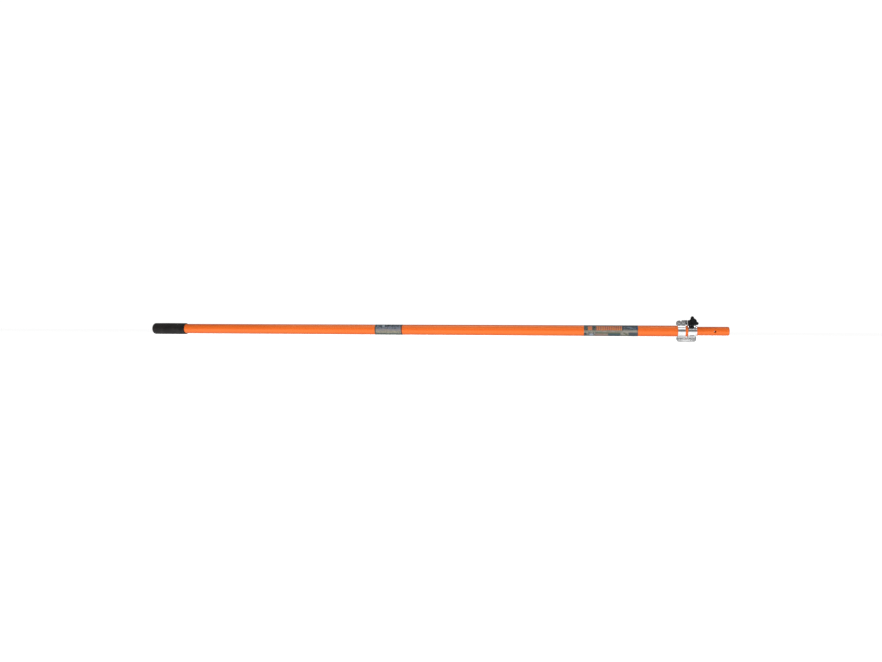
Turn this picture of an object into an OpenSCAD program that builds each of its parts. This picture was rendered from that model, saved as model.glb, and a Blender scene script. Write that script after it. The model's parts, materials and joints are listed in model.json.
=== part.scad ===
// Telescopic roller extension pole: two round tubes, a push-on hand grip and a stamped two-band clamp
// with a lobed knob.
// The pole lies along +X from the butt face at the origin to the tip. The clamp's ears point up (+Z)
// and its knob faces the front (-Y). Millimetres.

/* [Pole] */
// Length from the butt face to the tip with the pole closed
closed_len = 1830; // [1500:10:2600]
// Length of the tip that stays out in front of the clamp when closed
tip_reach = 87.3; // [70:0.1:160]
// Length of the front bush that holds the inner tube
bush_len = 74; // [60:1:140]

/* [Tubes] */
// Outside diameter of the inner tube
inner_od = 25.4; // [20:0.1:32]
// Wall of the inner tube
inner_wall = 1.0; // [0.8:0.05:2]
// Wall of the outer tube
outer_wall = 1.0; // [0.8:0.05:2]
// Wall of the bush between the two tubes
bush_t = 2.05; // [1.6:0.05:4]
// Diameter of the cross hole near the tip
cross_hole_d = 6.5; // [4:0.1:10]
// Distance from the tip to the cross hole
cross_hole_back = 39; // [25:1:60]
// Angle of the cross hole below the front, as the inner tube is turned
cross_hole_turn = 7; // [0:1:45]

/* [Grip] */
// Length of the hand grip
grip_len = 120; // [90:1:260]
// Wall of the hand grip
grip_wall = 2.6; // [1.5:0.1:5]
// Thickness of the grip's closed end
grip_end_t = 4; // [3:0.5:10]
// Radius round the grip's closed end
grip_end_r = 5.5; // [2:0.5:9]

/* [Labels] */
// Distance from the butt to the size label
size_label_x = 785; // [200:1:900]
// Length of the size label
size_label_len = 88.5; // [40:0.5:160]
// Distance from the main label's front edge to the clamp
main_label_back = 107; // [60:1:300]
// Length of the main label
main_label_len = 153; // [80:0.5:240]
// Thickness of the label film
label_t = 0.12; // [0.05:0.01:0.3]

/* [Clamp] */
// Thickness of the clamp's sheet steel
shell_t = 2; // [1.5:0.1:3]
// Width of the rear band, which is fixed to the outer tube
rear_band_w = 20.3; // [18:0.1:40]
// Width of the window between the two bands
window_w = 7; // [5:0.5:15]
// Width of the front band, up to its shoulder
front_band_w = 19.4; // [18:0.1:40]
// Gap between the ears when the clamp is tight
ear_gap = 3; // [2:0.5:6]
// Height of the bolt line above the bands
bolt_rise = 8.2; // [7.8:0.1:14]
// Height of the ears above the bolt line
ear_rise = 5.6; // [5.4:0.1:12]

/* [Fasteners] */
// Diameter of the two band bolts
band_bolt_d = 5; // [4:0.5:6]
// Diameter of the knob's bolt
knob_bolt_d = 6; // [5:0.5:6.5]
// Diameter of the rivets along the lower flange
rivet_d = 4.5; // [4:0.5:6]

/* [Knob] */
// Diameter of the circle round the knob's three lobes
knob_d = 32.5; // [28:0.5:46]
// Diameter of the knob's hub
knob_hub_d = 21.5; // [17:0.5:24]
// Thickness of the knob's head
knob_head_t = 10.8; // [9:0.5:16]
// Angle of the first lobe, above the tip side
knob_angle = 98; // [0:1:120]

/* [Hidden] */
$fn = 64;

// Clearances
running = 0.08;     // radial, where the inner tube slides and turns in a bush
seated = 0.05;      // radial, where a piece is pushed in and stays
stop_gap = 0.3;     // along the pole, between a stop and what it stops
hole_clear = 0.25;  // radial, round a bolt in a drilled ear
eps = 0.01;

// Radii of the tubes and the bush
inner_r = inner_od / 2;
inner_bore_r = inner_r - inner_wall;
bush_bore_r = inner_r + running;
bush_r = bush_bore_r + bush_t;
outer_bore_r = bush_r + seated;
outer_r = outer_bore_r + outer_wall;
grip_r = outer_r + grip_wall;

// Radii of the clamp
band_bore_r = outer_r + seated;
band_r = band_bore_r + shell_t;
flange_root = band_bore_r + shell_t / 2;
nose_bore_r = inner_r + 0.4;
nose_r = nose_bore_r + 0.7 * shell_t;
bolt_z = band_r + bolt_rise;
ear_top = bolt_z + ear_rise;

// Places along the pole, from the tip back
nose_x = closed_len - tip_reach;
nose_len = 3.2;
shoulder_x = nose_x - nose_len - shell_t;
front_band_x = shoulder_x - front_band_w;
rear_band_x1 = front_band_x - window_w;
rear_band_x = rear_band_x1 - rear_band_w;
flange_x = rear_band_x - 3.2;
flange_x1 = nose_x - 1;
bush_flange_t = 1.6;
mouth_x = shoulder_x - 2 * seated - bush_flange_t;
bush_x = mouth_x - bush_len;
main_label_x = flange_x - main_label_back - main_label_len;

// Ears: the slit parts the fixed ear from the moving ear
slit_w = 1.6;
slit_x = front_band_x - 0.8;
moving_ear_x = slit_x + slit_w;

// Fasteners
band_bolt_xs = [flange_x + 6.9, flange_x + 19.4];
knob_x = (moving_ear_x + flange_x1) / 2 - 1.4;
rivet_xs = [flange_x + 9.7, flange_x1 - 12.5];
rivet_z = -(band_r + 6);
rivet_head_r = 0.92 * rivet_d;
rivet_head_h = 0.48 * rivet_d;
band_washer_t = 1.2;
band_lock_t = 1.6;
band_head_h = 3.5;
band_nut_h = 4.5;
band_hex_r = band_bolt_d * 5 / 6 / cos(30);
band_bolt_tail = 2;
ear_face = ear_gap / 2 + shell_t;

// Knob: the lobes turn in front of the bands, so a neck as long as the bands are deep carries them
knob_washer_t = 1.6;
knob_seat = ear_face + knob_washer_t;
knob_back = band_r + 1;
knob_front = knob_back + knob_head_t;
knob_lobes = 3;
knob_lobe_r = 4.5;
insert_r = knob_bolt_d / 2 + 2;
knob_neck_r = insert_r + 2.4;
knob_cap_t = 4.5;
insert_len = knob_front - knob_seat - knob_cap_t;
bolt_end_gap = 2;
carriage_head_r = 1.05 * knob_bolt_d;
carriage_head_h = 0.5 * knob_bolt_d;
neck_side = knob_bolt_d;

// Inner tube: its tail, the two beads that hold the rear guide, and the bead that stops it on the clamp
plug_flange_t = 1.5;
butt_plug_len = 24;
butt_plug_x1 = grip_end_t + butt_plug_len;
outer_x = grip_end_t + plug_flange_t;
end_plug_flange_t = 2;
inner_x = butt_plug_x1 + 4 + end_plug_flange_t;
bead_w = 3;
bead_h = 0.75;
guide_len = 80;
guide_x = inner_x + 2 + bead_w + stop_gap;
guide_bead_x = guide_x + guide_len + stop_gap;
closed_bead_x = nose_x + stop_gap;
lip_r = 3;

// Kerfs that let the front band squeeze the outer tube and the bush
kerf_w = 2;
kerf_x = front_band_x - 4;
kerf_angles = [45, 135];

// ---------------------------------------------------------------- helpers

// Local +Z runs along the pole from x.
module along_pole(x) translate([x, 0, 0]) rotate([0, 90, 0]) children();

// Local +Z runs to the front from y = 0, with local X and Y as the pole's X and Z.
module to_front(x = 0, z = 0) translate([x, 0, z]) rotate([90, 0, 0]) children();

module tube(x0, x1, r, bore) {
    difference() {
        along_pole(x0) cylinder(r = r, h = x1 - x0);
        along_pole(x0 - 1) cylinder(r = bore, h = x1 - x0 + 2);
    }
}

// A solid of revolution round the pole's axis, from points [x, radius].
module turned(points) rotate([0, 90, 0]) rotate_extrude() polygon([for (p = points) [p[1], p[0]]]);

function unit(v) = v / norm(v);
function on_circle(c, r, a) = c + r * [cos(a), sin(a)];
function arc(c, r, a0, a1, n = 8) = [for (i = [0:n]) on_circle(c, r, a0 + (a1 - a0) * i / n)];

// The arc of radius r that rounds corner b of the outline a, b, c.
function corner(a, b, c, r) =
    let (
        u = unit(a - b), v = unit(c - b), half = acos(u * v) / 2,
        centre = b + unit(u + v) * r / sin(half),
        p = b + u * r / tan(half) - centre, q = b + v * r / tan(half) - centre,
        a0 = atan2(p[1], p[0]), turn = (atan2(q[1], q[0]) - a0 + 540) % 360 - 180
    )
    arc(centre, r, a0, a0 + turn);

// An outline from points [x, y, corner radius].
function rounded(points) = [
    for (i = [0:len(points) - 1])
        let (
            n = len(points),
            a = [points[(i + n - 1) % n][0], points[(i + n - 1) % n][1]],
            b = [points[i][0], points[i][1]],
            c = [points[(i + 1) % n][0], points[(i + 1) % n][1]]
        )
        each (points[i][2] > 0 ? corner(a, b, c, points[i][2]) : [b])
];

// A bead rolled into a tube's outer wall, as points [x, radius].
function bead(x) = [for (i = [0:6]) [x + bead_w * i / 6, inner_r + bead_h * sin(30 * i)]];

// ---------------------------------------------------------------- outer pole

module outer_tube() {
    color("darkorange")
    difference() {
        tube(outer_x, mouth_x, outer_r, outer_bore_r);
        for (a = kerf_angles) rotate([a, 0, 0]) {
            translate([kerf_x, -kerf_w / 2, -outer_r - 1])
                cube([mouth_x - kerf_x + 1, kerf_w, 2 * outer_r + 2]);
            translate([kerf_x, 0, -outer_r - 1]) cylinder(d = kerf_w * 1.5, h = 2 * outer_r + 2);
        }
    }
}

module hand_grip() {
    lip = 0.8;
    end_corner = arc([grip_end_r, grip_r - grip_end_r], grip_end_r, 180, 90, 10);
    color("#2b2828")
    turned(concat(
        [[0, 0]],
        end_corner,
        [[grip_len - lip, grip_r], [grip_len, grip_r - lip]],
        [[grip_len, outer_r + seated], [grip_end_t, outer_r + seated], [grip_end_t, 0]]
    ));
}

module butt_plug() {
    wall = 2;
    r = outer_bore_r - seated;
    color("dimgray")
    turned([
        [grip_end_t, 0], [grip_end_t, outer_r], [outer_x, outer_r], [outer_x, r],
        [butt_plug_x1 - 1, r], [butt_plug_x1, r - 1],
        [butt_plug_x1, r - wall], [outer_x + wall, r - wall], [outer_x + wall, 0]
    ]);
}

module label(x, length) {
    color("darkslategray") tube(x, x + length, outer_r + seated / 2 + label_t, outer_r + seated / 2);
}

module front_bush() {
    slit = 2.4;
    color("#3a3a3c")
    difference() {
        union() {
            along_pole(bush_x) cylinder(r = bush_r, h = bush_len + eps);
            along_pole(mouth_x) cylinder(r = outer_r - seated, h = bush_flange_t);
        }
        along_pole(bush_x - 1) cylinder(r = bush_bore_r, h = bush_len + bush_flange_t + 2);
        rotate([kerf_angles[0], 0, 0])
            translate([bush_x - 1, -slit / 2, 0]) cube([bush_len + bush_flange_t + 2, slit, outer_r + 1]);
        for (a = kerf_angles) rotate([a, 0, 0])
            translate([kerf_x, -kerf_w / 2, -outer_r - 1])
                cube([mouth_x + bush_flange_t - kerf_x + 1, kerf_w, 2 * outer_r + 2]);
    }
}

// ---------------------------------------------------------------- clamp shells

// Both bands as full rings. The front one steps down to a nose that keeps the bush in.
module bands() {
    tube(rear_band_x, rear_band_x1, band_r, band_bore_r);
    bend = 0.8 * shell_t;
    shoulder_corner = arc([shoulder_x + shell_t - bend, band_r - bend], bend, 90, 0);
    turned(concat(
        [[front_band_x, band_bore_r], [front_band_x, band_r]],
        shoulder_corner,
        [[shoulder_x + shell_t, nose_r], [nose_x, nose_r]],
        [[nose_x, nose_bore_r], [shoulder_x, nose_bore_r], [shoulder_x, band_bore_r]]
    ));
}

// The upper flange: a fixed ear with two lobes, then the slit, then the moving ear.
module ears_outline() {
    notch_x = (band_bolt_xs[0] + band_bolt_xs[1]) / 2;
    notch_w = 4;
    low_top = ear_top - 1.9;
    polygon(rounded([
        [flange_x, flange_root, 0], [flange_x, low_top, 6], [notch_x - notch_w / 2, low_top, 3],
        [notch_x - 0.9, low_top - 5, 0.8], [notch_x + 0.9, low_top - 5, 0.8],
        [notch_x + notch_w / 2, ear_top, 2], [slit_x, ear_top, 1.5], [slit_x, flange_root, 0]
    ]));
    polygon(rounded([
        [moving_ear_x, flange_root, 0], [moving_ear_x, ear_top, 1.5],
        [flange_x1, ear_top, 5.5], [flange_x1, flange_root, 0]
    ]));
}

module lower_outline() {
    polygon(rounded([
        [flange_x, -flange_root, 0], [flange_x, -ear_top, 9],
        [flange_x1, -ear_top, 7.5], [flange_x1, -flange_root, 0]
    ]));
}

// The stiffening rib pressed out of the lower flange, between the rivets.
module rib(height) {
    rib_r = 2.4;
    x0 = rivet_xs[0] + rivet_head_r + 3;
    x1 = rivet_xs[1] - rivet_head_r - 3;
    hull() for (x = [x0, x1]) to_front(x, rivet_z) cylinder(r = rib_r, h = height, $fn = 32);
}

// Half of the clamp, in front of the pole's axis.
module front_half() {
    side = 2 * ear_top;
    intersection() {
        bands();
        translate([flange_x - 1, -side, -side]) cube([nose_x - flange_x + 2, side, 2 * side]);
    }
}

module shell() {
    difference() {
        union() {
            difference() {
                front_half();
                translate([flange_x - 1, -ear_gap / 2, 0]) cube([nose_x - flange_x + 2, ear_gap, ear_top]);
            }
            translate([0, -ear_gap / 2, 0]) to_front() linear_extrude(shell_t) ears_outline();
            to_front() linear_extrude(shell_t) lower_outline();
            rib(shell_t + 0.9);
        }
        for (x = band_bolt_xs) to_front(x, bolt_z)
            cylinder(r = band_bolt_d / 2 + hole_clear, h = ear_face + 1);
        for (x = rivet_xs) to_front(x, rivet_z)
            translate([0, 0, -1]) cylinder(r = rivet_d / 2 + seated, h = shell_t + 2);
    }
}

// A short relief slot in the lower half of the front band.
module relief_slot() {
    slot_w = 2.2;
    slot_len = 9.2;
    slot_x = front_band_x + 6.5;
    rotate([45, 0, 0]) {
        for (dx = [0, slot_len])
            translate([slot_x + dx, 0, 0]) rotate([90, 0, 0]) cylinder(d = slot_w, h = 2 * band_r);
        translate([slot_x, -2 * band_r, -slot_w / 2]) cube([slot_len, 2 * band_r, slot_w]);
    }
}

module clamp_front_shell() {
    color("silver")
    difference() {
        shell();
        to_front(knob_x, bolt_z) cylinder(r = knob_bolt_d / 2 + hole_clear, h = ear_face + 1);
        relief_slot();
    }
}

module clamp_rear_shell() {
    hole = neck_side + 2 * hole_clear;
    color("silver")
    mirror([0, 1, 0])
    difference() {
        shell();
        to_front(knob_x, bolt_z) translate([-hole / 2, -hole / 2, 0]) cube([hole, hole, ear_face + 1]);
    }
}

// ---------------------------------------------------------------- fasteners

module hexagon(r, h) cylinder(r = r, h = h, $fn = 6);

module band_bolt(i) {
    tail = ear_face + band_lock_t + band_nut_h + band_bolt_tail;
    seat = ear_face + band_washer_t;
    color("gainsboro") to_front(band_bolt_xs[i], bolt_z) {
        translate([0, 0, -tail]) cylinder(d = band_bolt_d, h = tail + seat + eps);
        translate([0, 0, seat]) intersection() {
            rotate(10 + 25 * i) hexagon(band_hex_r, band_head_h);
            cylinder(r1 = band_hex_r + 2.2, r2 = band_hex_r - 0.5, h = band_head_h);
        }
    }
}

module ring(r, bore, h) {
    difference() {
        cylinder(r = r, h = h);
        translate([0, 0, -1]) cylinder(r = bore, h = h + 2);
    }
}

module band_washer(i) {
    color("gainsboro")
    to_front(band_bolt_xs[i], bolt_z) translate([0, 0, ear_face])
        ring(band_bolt_d * 0.97, band_bolt_d / 2 + 0.15, band_washer_t);
}

module band_lock_washer(i) {
    r = band_bolt_d * 0.85;
    color("gray")
    to_front(band_bolt_xs[i], bolt_z) translate([0, 0, -ear_face - band_lock_t]) difference() {
        ring(r, band_bolt_d / 2 + 0.1, band_lock_t);
        rotate(70) translate([0, -0.4, -1]) cube([r + 1, 0.8, band_lock_t + 2]);
    }
}

module band_nut(i) {
    color("gainsboro")
    to_front(band_bolt_xs[i], bolt_z) translate([0, 0, -ear_face - band_lock_t - band_nut_h]) difference() {
        rotate(15 + 20 * i) hexagon(band_hex_r, band_nut_h);
        translate([0, 0, -1]) cylinder(d = band_bolt_d + 0.1, h = band_nut_h + 2);
    }
}

// Half of a domed head on a shank of radius r, as points [radius, height].
module dome(r, h) {
    sphere_r = (r * r + h * h) / (2 * h);
    sweep = asin(r / sphere_r);
    rotate_extrude() polygon(concat([[0, 0]], arc([0, h - sphere_r], sphere_r, 90 - sweep, 90)));
}

module shell_rivet(i) {
    color("lightgray") to_front(rivet_xs[i], rivet_z) {
        translate([0, 0, -shell_t - eps]) cylinder(d = rivet_d, h = 2 * (shell_t + eps));
        for (side = [0, 1]) mirror([0, 0, side]) translate([0, 0, shell_t]) dome(rivet_head_r, rivet_head_h);
    }
}

// ---------------------------------------------------------------- knob

module knob_bolt() {
    tip = knob_seat + insert_len - bolt_end_gap;
    point = 0.8;
    color("gainsboro") to_front(knob_x, bolt_z) {
        translate([0, 0, -ear_face]) cylinder(d = knob_bolt_d, h = ear_face + tip - point);
        translate([0, 0, tip - point - eps])
            cylinder(d1 = knob_bolt_d, d2 = knob_bolt_d - 2 * point, h = point + eps);
        translate([-neck_side / 2, -neck_side / 2, -ear_face - eps])
            cube([neck_side, neck_side, shell_t + eps]);
        translate([0, 0, -ear_face]) mirror([0, 0, 1]) dome(carriage_head_r, carriage_head_h);
    }
}

module knob_washer() {
    color("gainsboro")
    to_front(knob_x, bolt_z) translate([0, 0, ear_face])
        ring(knob_neck_r - 1, knob_bolt_d / 2 + 0.1, knob_washer_t);
}

// One lobe, drawn along +X from the hub. Its edge slopes back from the front.
module lobe() {
    reach = knob_d / 2 - knob_lobe_r;
    slope = 1.5;
    hull() {
        cylinder(d = 0.8 * knob_hub_d, h = knob_head_t, $fn = 32);
        translate([reach, 0, 0]) cylinder(r = knob_lobe_r, h = knob_head_t - 2 * slope, $fn = 32);
        translate([reach - slope, 0, 0])
            cylinder(r = knob_lobe_r - slope / 2, h = knob_head_t - slope, $fn = 32);
    }
}

module clamp_knob() {
    bevel = 1;
    color("#1c1c1e")
    to_front(knob_x, bolt_z) difference() {
        union() {
            translate([0, 0, knob_seat]) cylinder(r = knob_neck_r, h = knob_back - knob_seat + eps);
            translate([0, 0, knob_back]) {
                cylinder(d = knob_hub_d, h = knob_head_t - bevel);
                translate([0, 0, knob_head_t - bevel])
                    cylinder(d1 = knob_hub_d, d2 = knob_hub_d - 2 * bevel, h = bevel);
                for (i = [0:knob_lobes - 1]) rotate(knob_angle + i * 360 / knob_lobes) lobe();
            }
        }
        translate([0, 0, knob_seat - 1]) cylinder(r = insert_r + seated, h = insert_len + 1);
    }
}

module knob_insert() {
    color("goldenrod")
    to_front(knob_x, bolt_z) translate([0, 0, knob_seat])
        ring(insert_r, knob_bolt_d / 2 + seated, insert_len);
}

// ---------------------------------------------------------------- inner pole

module inner_tube() {
    lip_centre = [closed_len - lip_r, inner_r - lip_r];
    lip = arc(lip_centre, lip_r, 90, 0);
    lip_inside = arc(lip_centre, lip_r - inner_wall, 0, 90);
    color("darkorange")
    difference() {
        turned(concat(
            [[inner_x, inner_bore_r], [inner_x, inner_r]],
            bead(guide_x - stop_gap - bead_w), bead(guide_bead_x), bead(closed_bead_x),
            lip, lip_inside
        ));
        translate([closed_len - cross_hole_back, 0, 0]) rotate([90 + cross_hole_turn, 0, 0])
            cylinder(d = cross_hole_d, h = 4 * inner_r, center = true);
    }
}

// A split sleeve with three lands, which the tube turns in and the outer tube guides.
module rear_guide() {
    land = 15;
    relief = 0.7;
    r = outer_bore_r - running;
    waist = (guide_len - 3 * land) / 2;
    x1 = guide_x + guide_len;
    color("#d8d4c8")
    difference() {
        turned([
            [guide_x, bush_bore_r], [guide_x, r - relief], [guide_x + relief, r],
            [guide_x + land, r], [guide_x + land + relief, r - relief],
            [guide_x + land + waist - relief, r - relief], [guide_x + land + waist, r],
            [guide_x + 2 * land + waist, r], [guide_x + 2 * land + waist + relief, r - relief],
            [x1 - land - relief, r - relief], [x1 - land, r],
            [x1 - relief, r], [x1, r - relief], [x1, bush_bore_r]
        ]);
        translate([guide_x - 1, -1.2, 0]) cube([guide_len + 2, 2.4, outer_r]);
    }
}

module inner_end_plug() {
    wall = 1.8;
    r = inner_bore_r - seated;
    x = inner_x - end_plug_flange_t;
    color("dimgray")
    turned([
        [x, 0], [x, inner_r - 0.5], [x + 0.5, inner_r], [inner_x, inner_r], [inner_x, r],
        [inner_x + 17, r], [inner_x + 18, r - 1], [inner_x + 18, r - wall], [inner_x, r - wall], [inner_x, 0]
    ]);
}

// ---------------------------------------------------------------- nodes

outer_tube();
hand_grip();
butt_plug();
label(main_label_x, main_label_len);  // main_label
label(size_label_x, size_label_len);  // size_label
front_bush();
clamp_front_shell();
clamp_rear_shell();
for (i = [0, 1]) {
    band_bolt(i);
    band_washer(i);
    band_lock_washer(i);
    band_nut(i);
    shell_rivet(i);
}
knob_bolt();
knob_washer();
clamp_knob();
knob_insert();
rear_guide();
inner_tube();
inner_end_plug();
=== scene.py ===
"""The looks of the roller extension pole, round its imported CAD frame. Metres, +X from butt to tip, +Z up."""

import json
import math

import bmesh
import bpy
from mathutils import Matrix, Vector

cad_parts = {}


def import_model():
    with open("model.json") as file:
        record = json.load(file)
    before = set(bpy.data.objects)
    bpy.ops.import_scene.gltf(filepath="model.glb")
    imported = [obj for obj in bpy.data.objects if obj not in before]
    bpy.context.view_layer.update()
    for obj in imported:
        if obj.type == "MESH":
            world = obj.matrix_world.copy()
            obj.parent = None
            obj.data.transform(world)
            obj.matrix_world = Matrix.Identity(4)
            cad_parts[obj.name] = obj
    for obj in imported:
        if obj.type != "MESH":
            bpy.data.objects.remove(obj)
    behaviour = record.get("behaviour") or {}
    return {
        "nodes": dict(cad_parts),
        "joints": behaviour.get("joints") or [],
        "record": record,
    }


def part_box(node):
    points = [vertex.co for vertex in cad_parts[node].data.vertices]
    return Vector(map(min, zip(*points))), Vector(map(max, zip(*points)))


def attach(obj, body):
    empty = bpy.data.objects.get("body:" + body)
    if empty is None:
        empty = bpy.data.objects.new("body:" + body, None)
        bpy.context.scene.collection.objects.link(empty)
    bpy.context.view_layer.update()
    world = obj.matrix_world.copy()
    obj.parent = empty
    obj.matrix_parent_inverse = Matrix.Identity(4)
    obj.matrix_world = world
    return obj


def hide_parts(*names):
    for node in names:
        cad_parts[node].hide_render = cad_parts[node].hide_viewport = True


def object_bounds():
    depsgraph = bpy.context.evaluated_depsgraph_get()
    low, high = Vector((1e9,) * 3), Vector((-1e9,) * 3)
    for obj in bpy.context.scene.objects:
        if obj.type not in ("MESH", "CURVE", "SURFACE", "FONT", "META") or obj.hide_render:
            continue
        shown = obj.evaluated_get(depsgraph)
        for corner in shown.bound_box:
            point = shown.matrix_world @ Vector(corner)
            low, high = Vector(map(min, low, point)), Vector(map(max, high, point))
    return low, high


MM = 0.001

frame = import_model()
nodes = frame["nodes"]
cad_low, cad_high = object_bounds()


# ------------------------------------------------------------------ places from the frame, and sizes

tube_low, tube_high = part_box("outer_tube")
inner_low, inner_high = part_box("inner_tube")
grip_low, grip_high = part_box("hand_grip")
knob_low, knob_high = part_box("clamp_knob")
clamp_low, clamp_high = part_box("clamp_front_shell")
guide_low, guide_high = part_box("rear_guide")
tube_r = tube_high.z
tube_wall = 1.0 * MM
seated = 0.05 * MM
# The beads on the inner tube make its box larger than its radius, which the tip's mount states
mounts = {mount["name"]: mount for mount in frame["record"]["mounts"]}
inner_r = mounts["tip_spigot"]["dims"]["r_mm"] * MM
cross_hole = mounts["tip_cross_hole"]
knob_joint = next(j for j in frame["joints"] if j["name"] == "knob_turn")
knob_x, _, knob_z = knob_joint["pos_m"]
sheet_t = 2.0 * MM
ear_gap = 3.0 * MM
ear_face = ear_gap / 2 + sheet_t
band_bolt_r = 2.5 * MM
knob_bolt_r = 3.0 * MM
rivet_r = 2.25 * MM


# ------------------------------------------------------------------ material helpers

class Paint:
    """A node material in the making: short calls that add nodes and link them."""

    def __init__(self, name):
        self.material = bpy.data.materials.new(name)
        self.material.use_nodes = True
        self.tree = self.material.node_tree
        self.shader = self.tree.nodes["Principled BSDF"]
        self.place = self.tree.nodes.new("ShaderNodeTexCoord").outputs["Object"]

    def feed(self, socket, value):
        """Links another node's output to a socket, or sets the socket to a plain value."""
        if isinstance(value, bpy.types.NodeSocket):
            self.tree.links.new(value, socket)
        else:
            socket.default_value = value

    def set(self, **values):
        """Sets or links the shader's sockets, with spaces written as underscores."""
        for name, value in values.items():
            self.feed(self.shader.inputs[name.replace("_", " ")], value)
        return self.material

    def math(self, operation, a, b=0.0, c=0.0):
        node = self.tree.nodes.new("ShaderNodeMath")
        node.operation = operation
        for socket, value in zip(node.inputs, (a, b, c)):
            self.feed(socket, value)
        return node.outputs[0]

    def axes(self):
        """The X, Y and Z of the place."""
        node = self.tree.nodes.new("ShaderNodeSeparateXYZ")
        self.feed(node.inputs[0], self.place)
        return node.outputs

    def vector(self, x, y, z=0.0):
        node = self.tree.nodes.new("ShaderNodeCombineXYZ")
        for socket, value in zip(node.inputs, (x, y, z)):
            self.feed(socket, value)
        return node.outputs[0]

    def stretched(self, scale):
        """The place, scaled by a factor along each axis."""
        node = self.tree.nodes.new("ShaderNodeMapping")
        self.feed(node.inputs["Vector"], self.place)
        node.inputs["Scale"].default_value = scale
        return node.outputs[0]

    def noise(self, size, stretch=(1, 1, 1), detail=3.0, rough=0.55):
        """Noise with features of about size, in metres."""
        node = self.tree.nodes.new("ShaderNodeTexNoise")
        self.feed(node.inputs["Vector"], self.stretched(stretch))
        node.inputs["Scale"].default_value = 1 / size
        node.inputs["Detail"].default_value = detail
        node.inputs["Roughness"].default_value = rough
        return node.outputs["Fac"]

    def cells(self, size):
        """The distance to the nearest of points that are about size apart, in metres."""
        node = self.tree.nodes.new("ShaderNodeTexVoronoi")
        node.feature = "F1"
        self.feed(node.inputs["Vector"], self.stretched((1, 1, 1)))
        node.inputs["Scale"].default_value = 1 / size
        return node.outputs["Distance"]

    def span(self, value, low, high, to_low=0.0, to_high=1.0):
        """Value mapped from low..high to to_low..to_high, and held at both ends."""
        node = self.tree.nodes.new("ShaderNodeMapRange")
        node.interpolation_type = "SMOOTHSTEP"
        sockets = {"Value": value, "From Min": low, "From Max": high, "To Min": to_low, "To Max": to_high}
        for name, setting in sockets.items():
            self.feed(node.inputs[name], setting)
        return node.outputs["Result"]

    def blend(self, share, a, b):
        """Colour a where share is 0, colour b where it is 1."""
        node = self.tree.nodes.new("ShaderNodeMix")
        node.data_type = "RGBA"
        self.feed(node.inputs["Factor"], share)
        for socket, colour in zip((node.inputs[6], node.inputs[7]), (a, b)):
            self.feed(socket, colour if isinstance(colour, bpy.types.NodeSocket) else (*colour, 1))
        return node.outputs[2]

    def bump(self, height, depth, normal=None):
        """A bump whose height of 1 stands depth metres proud."""
        node = self.tree.nodes.new("ShaderNodeBump")
        node.inputs["Distance"].default_value = depth
        self.feed(node.inputs["Height"], height)
        if normal is not None:
            self.feed(node.inputs["Normal"], normal)
        return node.outputs["Normal"]

    def add(self, *values):
        total = values[0]
        for value in values[1:]:
            total = self.math("ADD", total, value)
        return total


# ------------------------------------------------------------------ materials

def powder_coat(name, worn_and_rim_shaded):
    """Satin orange powder coat with orange peel. The sliding tube also has lengthwise scuffs, and painted
    shade laid on in patches over its rolled tip.
    """
    p = Paint(name)
    x = p.axes()[0]
    drift = p.noise(0.09, (0.25, 1, 1), 2)
    colour = p.blend(p.span(drift, 0.3, 0.7), (0.90, 0.138, 0.0135), (0.94, 0.156, 0.016))
    specks = p.span(p.cells(0.0035), 0.05, 0.11, 1.0, 0.0)
    few = p.span(p.noise(0.02, detail=1), 0.60, 0.68)
    colour = p.blend(p.math("MULTIPLY", p.math("MULTIPLY", specks, few), 0.5), colour, (0.62, 0.08, 0.008))
    streaks = p.span(p.noise(0.0022, (0.012, 1, 1), 4), 0.60, 0.78)
    patches = p.span(p.noise(0.12, (0.4, 1, 1), 2), 0.42, 0.66)
    wear = p.math("MULTIPLY", streaks, patches)
    wear = p.math("MULTIPLY", wear, 0.40 if worn_and_rim_shaded else 0.16)
    colour = p.blend(wear, colour, (0.96, 0.37, 0.13))
    if worn_and_rim_shaded:
        # Painted shade, not chipped paint: the rolled tip's rim is darkened in patches, darkest at the very
        # end.
        lip = p.span(x, inner_high.x - 2.2 * MM, inner_high.x - 0.2 * MM)
        rim_shade_patches = p.span(p.noise(0.004, detail=4), 0.44, 0.60)
        colour = p.blend(p.math("MULTIPLY", lip, rim_shade_patches), colour, (0.20, 0.085, 0.045))
    peel = p.noise(0.0016, detail=2)
    grain = p.noise(0.0003, detail=2)
    normal = p.bump(grain, 0.000006, p.bump(peel, 0.000035))
    normal = p.bump(p.math("MULTIPLY", streaks, patches), -0.00001, normal)
    gloss = p.add(p.span(peel, 0.3, 0.7, 0.25, 0.33), p.math("MULTIPLY", wear, 0.25))
    return p.set(Base_Color=colour, Roughness=gloss, Normal=normal, Specular_IOR_Level=1.0,
                 Specular_Tint=(1, 0.74, 0.36, 1), Coat_Weight=0.10, Coat_Roughness=0.25)


def grip_rubber():
    """Matt black rubber with a fine moulded grain, greyed by handling, dusty at its closed end."""
    p = Paint("grip_rubber_detail")
    x = p.axes()[0]
    grain = p.cells(0.0009)
    handling = p.span(p.noise(0.03, detail=4), 0.40, 0.68)
    colour = p.blend(handling, (0.0062, 0.0050, 0.0048), (0.0125, 0.0100, 0.0096))
    end = p.math("MULTIPLY", p.span(x, 9 * MM, 1 * MM), p.span(p.noise(0.004, detail=5), 0.42, 0.62))
    colour = p.blend(p.math("MULTIPLY", end, 0.55), colour, (0.11, 0.10, 0.09))
    scratches = p.span(p.noise(0.0016, (0.08, 1, 1), 4), 0.64, 0.74)
    colour = p.blend(p.math("MULTIPLY", scratches, 0.25), colour, (0.075, 0.07, 0.065))
    normal = p.bump(grain, 0.00009, p.bump(p.noise(0.0035, detail=2), 0.00012))
    return p.set(Base_Color=colour, Roughness=p.span(handling, 0, 1, 0.62, 0.50), Normal=normal,
                 Specular_IOR_Level=0.28, Sheen_Weight=0.03, Sheen_Roughness=0.5)


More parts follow.
